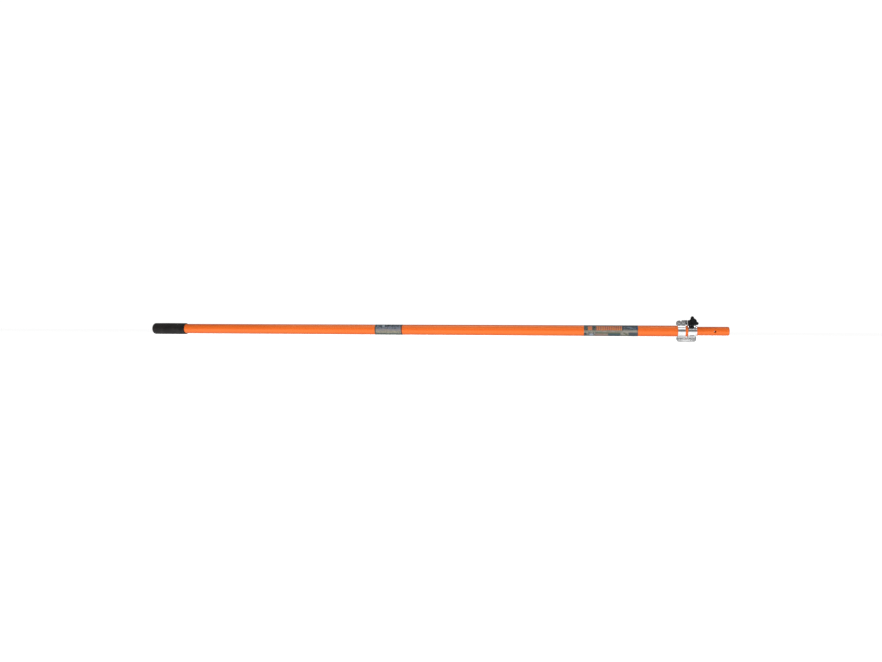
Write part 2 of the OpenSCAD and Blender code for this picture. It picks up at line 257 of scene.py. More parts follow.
def plated_steel(name, colour, dull, lines):
    """Bright plating over pressed steel: drawing lines, fine scratches and a few dull patches."""
    p = Paint(name)
    drawn = p.noise(0.0007, lines, 3)
    scratch = p.span(p.noise(0.0011, (0.10, 1, 1), 5), 0.66, 0.72)
    patches = p.span(p.noise(0.011, detail=4), 0.46, 0.66)
    shade = p.blend(p.math("MULTIPLY", patches, 0.5), colour, tuple(0.86 * c for c in colour))
    shade = p.blend(p.math("MULTIPLY", scratch, 0.3), shade, tuple(0.6 * c for c in colour))
    rough = p.add(p.span(drawn, 0.3, 0.7, dull, dull + 0.06), p.math("MULTIPLY", patches, 0.08),
                  p.math("MULTIPLY", scratch, 0.12))
    ripple = p.noise(0.006, detail=1)
    normal = p.bump(ripple, 0.00004, p.bump(drawn, 0.000004))
    normal = p.bump(scratch, -0.000006, normal)
    return p.set(Base_Color=shade, Metallic=1.0, Roughness=rough, Normal=normal)


def moulded(name, colour, worn, rough):
    """Moulded plastic with a fine spark-eroded grain and rubbed patches."""
    p = Paint(name)
    rubbed = p.span(p.noise(0.008, detail=4), 0.48, 0.70)
    shade = p.blend(p.math("MULTIPLY", rubbed, 0.7), colour, worn)
    dust = p.span(p.cells(0.0016), 0.08, 0.14, 1.0, 0.0)
    shade = p.blend(p.math("MULTIPLY", dust, 0.10), shade, tuple(min(1.0, 2.5 * c + 0.02) for c in colour))
    normal = p.bump(p.noise(0.00035, detail=2), 0.00003, p.bump(p.noise(0.005, detail=1), 0.00003))
    gloss = p.span(rubbed, 0, 1, rough, rough - 0.12)
    return p.set(Base_Color=shade, Roughness=gloss, Normal=normal, Specular_IOR_Level=0.3)


def turned_brass():
    """Brass with turning lines and tarnish."""
    p = Paint("insert_brass_detail")
    rings = p.noise(0.0005, (0.2, 3, 0.2), 2)
    tarnish = p.span(p.noise(0.003, detail=3), 0.4, 0.65)
    shade = p.blend(tarnish, (0.72, 0.50, 0.18), (0.48, 0.31, 0.11))
    return p.set(Base_Color=shade, Metallic=1.0, Roughness=p.span(rings, 0.3, 0.7, 0.22, 0.36),
                 Normal=p.bump(rings, 0.00001))


class Print(Paint):
    """Printed film wrapped round the tube: u runs along the pole from 0 to 1, v up the front face in mm.

    The film's edges meet at the back, where v is a little under beyond.
    """

    beyond = 60

    def __init__(self, name, node):
        super().__init__(name)
        low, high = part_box(node)
        self.length = (high.x - low.x) / MM
        x, y, z = self.axes()
        self.u = self.math("DIVIDE", self.math("SUBTRACT", x, low.x), high.x - low.x)
        turn = self.math("ARCTAN2", z, self.math("MULTIPLY", y, -1.0))
        self.v = self.math("MULTIPLY", turn, high.z / MM)

    def within(self, value, low, high):
        """1 where a value is from low to high, and 0 elsewhere."""
        half = (high - low) / 2
        off = self.math("ABSOLUTE", self.math("SUBTRACT", value, low + half))
        return self.math("LESS_THAN", off, half)

    def block(self, u0, u1, v0, v1):
        """1 inside a patch of the film."""
        return self.math("MULTIPLY", self.within(self.u, u0, u1), self.within(self.v, v0, v1))

    def tiles(self, width, height, seed=0.0):
        """A random value from 0 to 1 for each tile of a grid, with sizes in mm."""
        node = self.tree.nodes.new("ShaderNodeTexWhiteNoise")
        node.noise_dimensions = "2D"
        column = self.math("FLOOR", self.math("DIVIDE", self.math("MULTIPLY", self.u, self.length), width))
        row = self.math("FLOOR", self.math("DIVIDE", self.v, height))
        self.feed(node.inputs["Vector"], self.vector(self.math("ADD", column, seed), row))
        return node.outputs["Value"]

    def mosaic(self, colour, region, tints, width, height, seed=0.0):
        """Fills a region, (u0, u1, v0, v1), with tiles that take each of the tints by chance."""
        chance = self.tiles(width, height, seed)
        tint = tints[0]
        for i, other in enumerate(tints[1:], 1):
            tint = self.blend(self.math("GREATER_THAN", chance, i / len(tints)), tint, other)
        return self.blend(self.block(*region), colour, tint)

    def small_print(self, u0, u1, v0, v1, pitch):
        """Rows of short dashes, which stand for small print."""
        rows = self.math("LESS_THAN", self.math("FRACT", self.math("DIVIDE", self.v, pitch)), 0.5)
        gaps = self.math("GREATER_THAN", self.tiles(1.6, pitch), 0.3)
        return self.math("MULTIPLY", self.block(u0, u1, v0, v1), self.math("MULTIPLY", rows, gaps))

    def finish(self, colour):
        """Adds scuffs and the film's satin laminate."""
        rubbed = self.span(self.noise(0.012, (0.4, 1, 1), 4), 0.52, 0.72)
        colour = self.blend(self.math("MULTIPLY", rubbed, 0.15), colour, (0.20, 0.21, 0.20))
        scratch = self.span(self.noise(0.0012, (0.06, 1, 1), 4), 0.67, 0.73)
        colour = self.blend(self.math("MULTIPLY", scratch, 0.35), colour, (0.34, 0.35, 0.34))
        rough = self.span(rubbed, 0, 1, 0.34, 0.48)
        normal = self.bump(self.noise(0.0022, detail=2), 0.00002)
        return self.set(Base_Color=colour, Roughness=rough, Normal=normal, Specular_IOR_Level=0.3,
                        Coat_Weight=0.08, Coat_Roughness=0.18)


def main_label_print():
    """The long label: a striped band of orange tiles above, worn small print and plain panels below."""
    p = Print("main_label_print", "main_label")
    top, bottom = p.beyond, -p.beyond
    slate, deep, teal = (0.055, 0.070, 0.080), (0.014, 0.020, 0.028), (0.045, 0.085, 0.095)
    orange, amber = (0.62, 0.20, 0.065), (0.66, 0.26, 0.09)
    rust, pink = (0.19, 0.042, 0.022), (0.48, 0.17, 0.12)
    olive, grey, brown = (0.090, 0.105, 0.060), (0.25, 0.235, 0.205), (0.26, 0.18, 0.145)
    pale, blue = (0.30, 0.34, 0.42), (0.13, 0.17, 0.22)
    colour = p.blend(p.within(p.v, 15, top), slate, deep)
    colour = p.mosaic(colour, (0, 0.225, 2, 16), (deep, slate, teal, olive), 3.1, 4.2)
    colour = p.mosaic(colour, (0.075, 0.155, 1.5, 15.5), (orange, pink, orange), 4.0, 3.4, 5)
    colour = p.mosaic(colour, (0.225, 0.705, 1.2, 16.5), (orange, pink, amber, orange), 2.6, 3.6, 11)
    stripes, stripe_pitch, stripe_w = 14, 0.034, 0.009
    for i in range(stripes):
        start = 0.232 + stripe_pitch * i
        colour = p.blend(p.block(start, start + stripe_w, 1.2, 16.5), colour, rust)
    colour = p.mosaic(colour, (0.74, 0.96, 4.5, 12.5), (blue, slate, blue), 4.5, 3.0, 3)
    colour = p.blend(p.block(0.955, 1, 4.5, 14), colour, (0.030, 0.070, 0.125))
    colour = p.mosaic(colour, (0, 1, -5, 1.2), (grey, brown, grey, (0.17, 0.20, 0.15)), 3.4, 1.7, 7)
    colour = p.blend(p.small_print(0.72, 0.98, -5, 4.2, 2.1), colour, (0.34, 0.33, 0.30))
    colour = p.blend(p.block(0.24, 0.70, -8.6, -5), colour, olive)
    colour = p.mosaic(colour, (0, 0.21, bottom, -5), (grey, slate, grey), 3.2, 3.0, 9)
    colour = p.blend(p.block(0, 0.05, -14, -8.6), colour, deep)
    colour = p.blend(p.block(0.105, 0.175, -19, -9.5), colour, pale)
    colour = p.mosaic(colour, (0.21, 0.45, bottom, -8.6), (brown, grey, brown), 4.0, 2.6, 2)
    colour = p.blend(p.block(0.45, 0.68, bottom, -8.6), colour, teal)
    colour = p.mosaic(colour, (0.68, 0.83, bottom, -5), (grey, olive, grey), 3.0, 2.6, 4)
    colour = p.blend(p.block(0.83, 1, bottom, -10), colour, slate)
    colour = p.blend(p.within(p.v, bottom, -19), colour, deep)
    return p.finish(colour)


def size_label_print():
    """The short label: navy above with pale tiles, beige small print below, and a dark lower band."""
    p = Print("size_label_print", "size_label")
    top, bottom = p.beyond, -p.beyond
    left, right = 0.05, 0.96
    navy, deep, blue = (0.050, 0.075, 0.100), (0.014, 0.024, 0.032), (0.135, 0.165, 0.205)
    pale, lilac = (0.30, 0.36, 0.40), (0.20, 0.20, 0.25)
    beige, drab, dark = (0.36, 0.33, 0.24), (0.24, 0.22, 0.19), (0.028, 0.036, 0.028)
    colour = p.mosaic(navy, (0, 1, 10, top), (deep, navy, deep, blue), 3.2, 5.0)
    colour = p.blend(p.block(0.27, 0.36, 7, 17), colour, pale)
    colour = p.mosaic(colour, (left, right, 2.5, 10), (navy, blue, lilac, blue), 3.1, 3.7, 5)
    colour = p.mosaic(colour, (left, right, -3.6, 2.5), (lilac, drab, (0.26, 0.24, 0.24)), 3.4, 3.0, 3)
    colour = p.mosaic(colour, (left, right, -10.5, -3.6), (beige, drab, beige), 3.3, 3.4, 8)
    colour = p.blend(p.small_print(0.08, 0.93, -10.5, -3.6, 1.7), colour, (0.17, 0.16, 0.125))
    greens = (0.20, 0.235, 0.20), (0.13, 0.15, 0.125)
    colour = p.mosaic(colour, (left, right, -14.5, -10.5), greens, 4.4, 4.0, 6)
    colour = p.blend(p.within(p.v, bottom, -14.5), colour, dark)
    colour = p.blend(p.within(p.u, -0.01, 0.03), colour, (0.14, 0.085, 0.035))
    colour = p.blend(p.within(p.u, 0.965, 1.01), colour, (0.075, 0.035, 0.030))
    return p.finish(colour)


materials = {
    "tube": powder_coat("orange_powder_coat", False),
    "sliding tube": powder_coat("orange_powder_coat_worn_rim_shaded", True),
    "grip": grip_rubber(),
    "main label": main_label_print(),
    "size label": size_label_print(),
    "clamp": plated_steel("bright_plated_steel", (0.88, 0.885, 0.89), 0.10, (0.1, 1, 1)),
    "zinc": plated_steel("zinc_plated_steel", (0.70, 0.71, 0.71), 0.22, (1, 1, 1)),
    "dark zinc": plated_steel("spring_steel", (0.42, 0.42, 0.43), 0.30, (1, 1, 1)),
    "knob": moulded("black_moulded_plastic", (0.005, 0.005, 0.0055), (0.011, 0.011, 0.012), 0.40),
    "plug": moulded("dark_moulded_plastic", (0.035, 0.035, 0.037), (0.060, 0.060, 0.062), 0.50),
    "guide": moulded("off_white_nylon", (0.60, 0.57, 0.50), (0.42, 0.39, 0.34), 0.45),
    "brass": turned_brass(),
}

NODE_MATERIALS = {
    "outer_tube": "tube", "inner_tube": "sliding tube", "hand_grip": "grip",
    "main_label": "main label", "size_label": "size label",
    "clamp_front_shell": "clamp", "clamp_rear_shell": "clamp",
    "band_bolt_1": "zinc", "band_bolt_2": "zinc", "band_nut_1": "zinc", "band_nut_2": "zinc",
    "band_washer_1": "zinc", "band_washer_2": "zinc",
    "band_lock_washer_1": "dark zinc", "band_lock_washer_2": "dark zinc",
    "shell_rivet_1": "zinc", "shell_rivet_2": "zinc", "knob_bolt": "zinc", "knob_washer": "zinc",
    "clamp_knob": "knob", "knob_insert": "brass", "front_bush": "plug", "butt_plug": "plug",
    "inner_end_plug": "plug", "rear_guide": "guide",
}
for name, kind in NODE_MATERIALS.items():
    nodes[name].data.materials.clear()
    nodes[name].data.materials.append(materials[kind])


# ------------------------------------------------------------------ mesh helpers

def along_pole(x, y, h):
    """Rings whose axis is the pole's."""
    return Vector((h, x, y))


def to_front(x0, z0):
    """Rings whose axis runs to the front through (x0, z0)."""
    return lambda x, y, h: Vector((x0 + x, -h, z0 + y))


def rings(loops, segments, place, closed=False):
    """A mesh of rings. A loop is (radius, height) or a function of the angle that gives them."""
    bm = bmesh.new()
    rows = []
    for loop in loops:
        row = []
        for i in range(segments):
            angle = 2 * math.pi * i / segments
            radius, height = loop(angle) if callable(loop) else loop
            row.append(bm.verts.new(place(radius * math.cos(angle), radius * math.sin(angle), height)))
        rows.append(row)
    pairs = list(zip(rows, rows[1:]))
    if closed:
        pairs.append((rows[-1], rows[0]))
    for a, b in pairs:
        for i in range(segments):
            k = (i + 1) % segments
            bm.faces.new((a[i], a[k], b[k], b[i]))
    bmesh.ops.remove_doubles(bm, verts=bm.verts, dist=1e-7)
    bmesh.ops.recalc_face_normals(bm, faces=bm.faces)
    return bm


def piece(name, bm, material, body, node=None, sharp=35):
    """A visible piece from a bmesh, smooth but for edges over an angle, that rides on a body."""
    mesh = bpy.data.meshes.new(name)
    bm.to_mesh(mesh)
    bm.free()
    mesh.shade_smooth()
    mesh.set_sharp_from_angle(angle=math.radians(sharp))
    made = bpy.data.objects.new(name, mesh)
    bpy.context.scene.collection.objects.link(made)
    mesh.materials.append(materials[material])
    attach(made, body)
    if node:
        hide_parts(node)
    return made


def settle(target, sharp=35):
    """Applies a piece's modifiers."""
    bpy.context.view_layer.update()
    shaped = bpy.data.meshes.new_from_object(target.evaluated_get(bpy.context.evaluated_depsgraph_get()))
    target.modifiers.clear()
    target.data = shaped
    shaped.shade_smooth()
    shaped.set_sharp_from_angle(angle=math.radians(sharp))


def cut(target, bm):
    """Cuts a bmesh out of a piece for good."""
    mesh = bpy.data.meshes.new("cutter")
    bm.to_mesh(mesh)
    bm.free()
    cutter = bpy.data.objects.new("cutter", mesh)
    bpy.context.scene.collection.objects.link(cutter)
    boolean = target.modifiers.new("cut", "BOOLEAN")
    boolean.operation = "DIFFERENCE"
    boolean.solver = "EXACT"
    boolean.object = cutter
    settle(target)
    bpy.data.objects.remove(cutter)


def bow(centre, radius, start, end, steps=8):
    """Points (radius, height) along an arc, in degrees, where 90 is away from the axis."""
    turns = [math.radians(start + (end - start) * i / steps) for i in range(steps + 1)]
    return [(centre[0] + radius * math.sin(t), centre[1] + radius * math.cos(t)) for t in turns]


def turned_box(size, centre, turn):
    """A box for cutting with, turned about the pole's axis by an angle in degrees."""
    bm = bmesh.new()
    bmesh.ops.create_cube(bm, size=1)
    bmesh.ops.scale(bm, vec=size, verts=bm.verts)
    bmesh.ops.translate(bm, vec=centre, verts=bm.verts)
    bmesh.ops.rotate(bm, matrix=Matrix.Rotation(math.radians(turn), 3, "X"), verts=bm.verts)
    return bm


# ------------------------------------------------------------------ tubes and grip

TUBE_SIDES = 128


def bead(x, height=0.75 * MM, width=3 * MM, steps=12):
    """A bead rolled out of the inner tube's wall, as rings."""
    return [(inner_r + height * math.sin(math.pi * i / steps) ** 1.3, x + width * i / steps)
            for i in range(steps + 1)]


def outer_tube():
    """The outer tube, with deburred ends and the kerfs that the window shows."""
    edge = 0.25 * MM
    r, bore = tube_r, tube_r - tube_wall
    low, high = tube_low.x, tube_high.x
    loops = [(r - edge, low), (r, low + edge)]
    loops += [(r, low + (high - low) * i / 8) for i in range(1, 8)]
    loops += [(r, high - edge), (r - edge, high), (bore, high), (bore, low)]
    made = piece("outer_tube_fine", rings(loops, TUBE_SIDES, along_pole, closed=True), "tube",
                 "outer_pole", "outer_tube")
    kerf_w = 2 * MM
    kerf_x = clamp_high.x - 28.6 * MM
    reach = high - kerf_x + 5 * MM
    for turn in (45, 135):
        cut(made, turned_box((reach, kerf_w, 3 * tube_r), (kerf_x + reach / 2, 0, 0), turn))


def inner_tube():
    """The sliding tube: rolled tip, cross hole, the stop bead and the two beads that hold the guide."""
    lip = 3 * MM
    gap, width = 0.3 * MM, 3 * MM
    bore = inner_r - tube_wall
    tip = inner_high.x
    loops = [(inner_r, inner_low.x)]
    loops += bead(guide_low.x - gap - width) + bead(guide_high.x + gap)
    loops += [(inner_r, 0.3), (inner_r, 0.9), (inner_r, 1.5)]
    loops += bead(clamp_high.x + gap)
    centre = (inner_r - lip, tip - lip)
    loops += bow(centre, lip, 90, 0, 12) + bow(centre, lip - tube_wall, 0, 90, 8)
    loops += [(bore, 1.2), (bore, inner_low.x)]
    made = piece("inner_tube_fine", rings(loops, TUBE_SIDES, along_pole, closed=True), "sliding tube",
                 "inner_pole", "inner_tube")
    axis = Vector(cross_hole["axis"]).normalized()
    hole_r = cross_hole["dims"]["r_mm"] * MM
    bm = bmesh.new()
    bmesh.ops.create_cone(bm, cap_ends=True, segments=64, radius1=hole_r, radius2=hole_r, depth=4 * inner_r)
    bmesh.ops.rotate(bm, matrix=axis.to_track_quat("Z", "Y").to_matrix(), verts=bm.verts)
    bmesh.ops.translate(bm, vec=cross_hole["pos_m"], verts=bm.verts)
    cut(made, bm)


def hand_grip():
    """The grip: a rounded end with a gate mark, a slightly swelling body, a groove and a rolled lip."""
    r = grip_high.z
    length = grip_high.x - grip_low.x
    end_r, lip, end_t = 5.5 * MM, 2.2 * MM, 4 * MM
    seat = tube_r + seated
    swell, swell_steps = 0.15 * MM, 12
    loops = [(0, 0.5 * MM), (1.6 * MM, 0.5 * MM), (2.0 * MM, 0.1 * MM), (2.4 * MM, 0), (r - end_r, 0)]
    loops += bow((r - end_r, end_r), end_r, 180, 90, 14)[1:]
    groove = length - 9 * MM
    body = groove - 1.5 * MM - end_r
    for i in range(1, swell_steps):
        share = i / swell_steps
        loops.append((r + swell * math.sin(math.pi * share), end_r + body * share))
    loops += [(r, groove - 1.2 * MM), (r - 0.25 * MM, groove - 0.5 * MM), (r - 0.35 * MM, groove),
              (r - 0.25 * MM, groove + 0.5 * MM), (r, groove + 1.2 * MM)]
    loops += bow((r - lip, length - lip), lip, 90, 0, 10)
    loops += [(seat, length), (seat, end_t), (0, end_t)]
    piece("hand_grip_fine", rings(loops, TUBE_SIDES, along_pole), "grip", "outer_pole",
          "hand_grip")


def film_overlap(node, material):
    """The strip where a label's film laps over its own edge, at the back of the pole."""
    low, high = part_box(node)
    r, film = high.z, 0.10 * MM
    start, sweep, steps = math.radians(8), math.radians(16), 10
    bm = bmesh.new()
    rows = []
    for i in range(steps + 1):
        turn = start + sweep * i / steps
        rows.append([bm.verts.new((x, radius * math.cos(turn), radius * math.sin(turn)))
                     for radius, x in ((r, low.x), (r + film, low.x), (r + film, high.x), (r, high.x))])
    for a, b in zip(rows, rows[1:]):
        for k in range(4):
            bm.faces.new((a[k], a[(k + 1) % 4], b[(k + 1) % 4], b[k]))
    bm.faces.new(rows[0])
    bm.faces.new(rows[-1])
    bmesh.ops.recalc_face_normals(bm, faces=bm.faces)
    piece(node + "_overlap", bm, material, "outer_pole")


# ------------------------------------------------------------------ clamp shells

class PressedShell:
    """One half of the clamp as pressed sheet: its middle surface on a grid of stations and rows."""

    fillet = 1.2 * MM
    slit_r, nose_corner_r, rear_corner_r = 1.5 * MM, 5.5 * MM, 6 * MM
    ear_rows, fillet_rows, ring_rows, low_rows = 16, 5, 44, 18

    def __init__(self):
        self.flange_x = clamp_low.x
        self.nose_x = clamp_high.x
        self.flange_x1 = self.nose_x - 1 * MM
        self.top = clamp_high.z
        self.ring_r = tube_r + seated + sheet_t / 2
        self.nose_r = inner_r + 0.4 * MM + 0.7 * MM
        self.rear_band = (self.flange_x + 3.2 * MM, self.flange_x + 23.5 * MM)
        self.front_band_x = self.flange_x + 30.5 * MM
        self.shoulder_x = self.nose_x - 5.2 * MM
        self.slit = (self.front_band_x - 0.8 * MM, self.front_band_x + 0.8 * MM)
        self.notch_x = self.flange_x + 13.15 * MM
        self.rib = (self.flange_x + 16.8 * MM, self.flange_x1 - 19.6 * MM, clamp_low.z + 7.8 * MM)

    def stations(self):
        """Places along the pole, closer together where the outline bends."""
        notch_w, shoulder_w = 2.6 * MM, 3 * MM
        corners = {self.flange_x: self.rear_corner_r, self.notch_x - notch_w: notch_w, self.notch_x: notch_w,
                   self.slit[0] - self.slit_r: self.slit_r, self.slit[1]: self.slit_r,
                   self.flange_x1 - self.nose_corner_r: self.nose_corner_r, self.shoulder_x: shoulder_w}
        found = {self.flange_x, self.flange_x1, self.nose_x, self.front_band_x, *self.rear_band, *self.slit}
        for start, width in corners.items():
            found |= {start + width * (1 - math.cos(math.pi * i / 16)) / 2 for i in range(17)}
        steps = math.ceil((self.nose_x - self.flange_x) / (0.9 * MM))
        found |= {self.flange_x + (self.nose_x - self.flange_x) * i / steps for i in range(steps)}
        kept = []
        fixed = {self.flange_x1, self.front_band_x, *self.rear_band, *self.slit}
        for x in sorted(found):
            if kept and x - kept[-1] < 0.12 * MM:
                if x in fixed:
                    kept[-1] = x
                continue
            kept.append(x)
        kept[-1] = self.nose_x
        return kept

    @staticmethod
    def corner(x, edge, side, radius):
        """How far a rounded corner lowers an outline at x."""
        inside = side * (x - edge)
        if inside >= radius:
            return 0.0
        return radius - math.sqrt(max(0.0, radius ** 2 - (radius - max(0.0, inside)) ** 2))

    def ear_top(self, x):
        """The upper flange's outline: a step and a notch between the band bolts, and rounded corners."""
        step = 1 / (1 + math.exp(-(x - self.notch_x) / (0.5 * MM)))
        notch = 5.0 * MM * math.exp(-((x - self.notch_x) / (1.5 * MM)) ** 2)
        top = self.top - 1.9 * MM * (1 - step) - notch - self.corner(x, self.flange_x, 1, self.rear_corner_r)
        if x <= self.slit[0] + 1e-9:
            top -= self.corner(x, self.slit[0], -1, self.slit_r)
        elif x >= self.slit[1] - 1e-9:
            top -= self.corner(x, self.slit[1], 1, self.slit_r)
            top -= self.corner(x, self.flange_x1, -1, self.nose_corner_r)
        return top

    def flange_low(self, x):
        """The lower flange's outline."""
        rear = self.corner(x, self.flange_x, 1, 9 * MM)
        return -self.top + rear + self.corner(x, self.flange_x1, -1, 7.5 * MM)

    def ring(self, x):
        """The radius of the sheet's middle: the bands', then down the shoulder to the nose."""
        share = min(1.0, max(0.0, (x - self.shoulder_x) / (2.4 * MM)))
        share = share * share * (3 - 2 * share)
        return self.ring_r + (self.nose_r - self.ring_r) * share

    def rib_rise(self, x, z):
        """How far the lower flange's stiffening rib stands out."""
        start, end, height = self.rib
        off = math.hypot(x - min(max(x, start), end), z - height)
        share = min(1.0, max(0.0, (2.9 * MM - off) / (1.5 * MM)))
        return 0.9 * MM * share * share * (3 - 2 * share)

    def profile(self, x):
        """The section at x from the ear's top, round the band, to the lower flange's edge."""
        radius, fillet = self.ring(x), self.fillet
        upper, lower = ear_gap / 2 + sheet_t / 2, sheet_t / 2
        reach = radius + fillet
        high_z = math.sqrt(reach ** 2 - (upper + fillet) ** 2)
        low_z = math.sqrt(reach ** 2 - (lower + fillet) ** 2)
        high_turn = math.atan2(high_z, upper + fillet)
        low_turn = -math.atan2(low_z, lower + fillet)
        top, low = self.ear_top(x), self.flange_low(x)
        points = [(-upper, top + (high_z - top) * i / self.ear_rows) for i in range(self.ear_rows)]
        for i in range(self.fillet_rows):
            turn = high_turn * i / self.fillet_rows
            points.append((-upper - fillet + fillet * math.cos(turn), high_z - fillet * math.sin(turn)))
        for i in range(self.ring_rows):
            turn = high_turn + (low_turn - high_turn) * i / self.ring_rows
            points.append((-radius * math.cos(turn), radius * math.sin(turn)))
        for i in range(self.fillet_rows):
            turn = low_turn * (1 - i / self.fillet_rows)
            points.append((-lower - fillet + fillet * math.cos(turn), -low_z - fillet * math.sin(turn)))
        for i in range(self.low_rows + 1):
            z = -low_z + (low + low_z) * i / self.low_rows
            points.append((-lower - self.rib_rise(x, z), z))
        return points

    def holds(self, row, x):
        """Whether the sheet is there, in a row of faces that starts at row, at x."""
        ring_start = self.ear_rows
        ring_end = ring_start + 2 * self.fillet_rows + self.ring_rows
        if ring_start <= row < ring_end:
            return self.rear_band[0] < x < self.rear_band[1] or x > self.front_band_x
        if row < ring_start:
            return x < self.flange_x1 and not self.slit[0] < x < self.slit[1]
        return x < self.flange_x1

    def build(self, name, side, node):
        """side is 1 for the front shell and -1 for its mirror image behind."""
        stations = self.stations()
        bm = bmesh.new()
        grid = [[bm.verts.new((x, side * y, z)) for y, z in self.profile(x)] for x in stations]
        for a, b, x0, x1 in zip(grid, grid[1:], stations, stations[1:]):
            for row in range(len(a) - 1):
                if self.holds(row, (x0 + x1) / 2):
                    bm.faces.new((a[row], b[row], b[row + 1], a[row + 1]))
        bmesh.ops.delete(bm, geom=[v for v in bm.verts if not v.link_faces], context="VERTS")
        bmesh.ops.recalc_face_normals(bm, faces=bm.faces)
        made = piece(name, bm, "clamp", "outer_pole", node, sharp=60)
        solid = made.modifiers.new("sheet", "SOLIDIFY")
        solid.thickness = sheet_t
        solid.offset = 0
        solid.use_even_offset = True
        round_edges = made.modifiers.new("rolled edges", "BEVEL")
        round_edges.width = 0.35 * MM
        round_edges.segments = 2
        round_edges.limit_method = "ANGLE"
        round_edges.angle_limit = math.radians(55)
        settle(made, sharp=50)
        return made


def clamp_shells():
    """Both shells, and the relief slot in the front one."""
    shell = PressedShell()
    front = shell.build("clamp_front_shell_fine", 1, "clamp_front_shell")
    shell.build("clamp_rear_shell_fine", -1, "clamp_rear_shell")
    slot_len, slot_w = 11.4 * MM, 2.2 * MM
    centre = (shell.front_band_x + 11.1 * MM, -1.5 * tube_r, 0)
    cut(front, turned_box((slot_len, 2 * tube_r, slot_w), centre, 45))


# ------------------------------------------------------------------ fasteners

def faced(node):
    """Where a fastener is that runs front to back: its placing function, radius, front and back."""
    low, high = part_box(node)
    place = to_front((low.x + high.x) / 2, (low.z + high.z) / 2)
    return place, (high.x - low.x) / 2, -low.y, -high.y


def hexagon(apothem, height, drop=0.0, turn=0.0):
    """A ring on a hexagon's sides, whose corners drop below height as a chamfer turns them down."""
    corner_share = 1 / math.cos(math.pi / 6) - 1

    def ring(angle):
        off = (angle - turn + math.pi / 6) % (math.pi / 3) - math.pi / 6
        radius = apothem / math.cos(off)
        return radius, height - drop * (radius - apothem) / (apothem * corner_share)
    return ring


def thread(radius, start, end, pitch):
    """Rings along a screw thread, whose radius follows a helix."""
    steps = max(2, round((end - start) / (pitch / 6)))
    depth = 0.55 * pitch

    def at(height):
        def ring(angle):
            phase = (height / pitch - angle / (2 * math.pi)) % 1
            return radius - depth * (1 - abs(2 * phase - 1)), height
        return ring
    return [at(start + (end - start) * i / steps) for i in range(steps + 1)]


def hex_bolt(name, node, turn):
    """A band bolt: a chamfered hexagon with a raised washer face, a shank and a threaded tail."""
    place, _, head_top, tail = faced(node)
    head_h, r = 3.5 * MM, band_bolt_r
    seat = head_top - head_h
    apothem = 5 / 3 * r
    dish = 0.35 * MM
    loops = [(0, head_top - dish), (2.2 * MM, head_top - dish), (2.5 * MM, head_top)]
    loops += [(apothem * 0.93, head_top), hexagon(apothem, head_top - 0.15 * MM, 0.45 * MM, turn),
              hexagon(apothem, head_top - 0.5 * MM, 0.45 * MM, turn), hexagon(apothem, seat, 0, turn)]
    loops += [(r, seat), (r, -ear_face)]
    down = thread(r, tail + 0.6 * MM, -ear_face - 0.2 * MM, 0.8 * MM)
    loops += down[::-1] + [(r - 0.8 * MM, tail), (0, tail)]
    piece(name, rings(loops, 72, place), "zinc", "outer_pole", node)


def hex_nut(name, node, turn):
    """A nut with both faces chamfered, inside and out."""
    place, _, front, back = faced(node)
    apothem, r = 4.17 * MM, band_bolt_r + seated
    face_r, chamfer = 0.95 * apothem, 0.4 * MM
    loops = [(r, front - chamfer), (r + chamfer, front), (face_r, front),
             hexagon(apothem, front - 0.1 * MM, chamfer, turn),
             hexagon(apothem, back + 0.1 * MM, -chamfer, turn),
             (face_r, back), (r + chamfer, back), (r, back + chamfer)]
    piece(name, rings(loops, 72, place, closed=True), "zinc", "outer_pole", node)


def washer(name, node, body, bore):
    """A stamped washer, with one rolled edge and one sharp one."""
    place, r, front, back = faced(node)
    edge, burr = 0.35 * MM, 0.1 * MM
    loops = bow((r - edge, front - edge), edge, 0, 90, 5)
    loops += [(r, back), (bore, back), (bore, front - burr), (bore + burr, front)]
    piece(name, rings(loops, 72, place, closed=True), "zinc", body, node)


def rivet(name, node):
    """A set rivet: a low domed head with a small flat on each side of the flange."""
    place, r, reach, _ = faced(node)
    rise = reach - sheet_t
    turns = [math.radians(a) for a in (16, 28, 40, 52, 62, 71, 79, 85)]
    dome = [(r * math.sin(t), sheet_t + rise * math.cos(t) ** 0.8) for t in turns]
    front = [(0, reach * 0.985), *dome, (r * 0.985, sheet_t + 0.06 * MM), (r * 0.96, sheet_t)]
    back = [(radius, -height) for radius, height in front[::-1]]
    shank = [(rivet_r, sheet_t), (rivet_r, -sheet_t)]
    piece(name, rings(front + shank + back, 64, place), "zinc", "outer_pole", node)


def knob_bolt():
    """The knob's carriage bolt: a domed head behind the rear ear and a threaded shank."""
    place, head_r, tip, back = faced("knob_bolt")
    r = knob_bolt_r
    rise = -back - ear_face
    dome = [(head_r * math.sin(math.radians(a)), -ear_face - rise * math.cos(math.radians(a)))
            for a in range(0, 91, 9)]
    loops = dome + [(r, -ear_face), (r, ear_face - 1 * MM)]
    loops += thread(r, ear_face - 0.8 * MM, tip - 0.9 * MM, 1.0 * MM) + [(r - 0.9 * MM, tip), (0, tip)]
    piece("knob_bolt_fine", rings(loops, 64, place), "zinc", "outer_pole", "knob_bolt")


# ------------------------------------------------------------------ knob

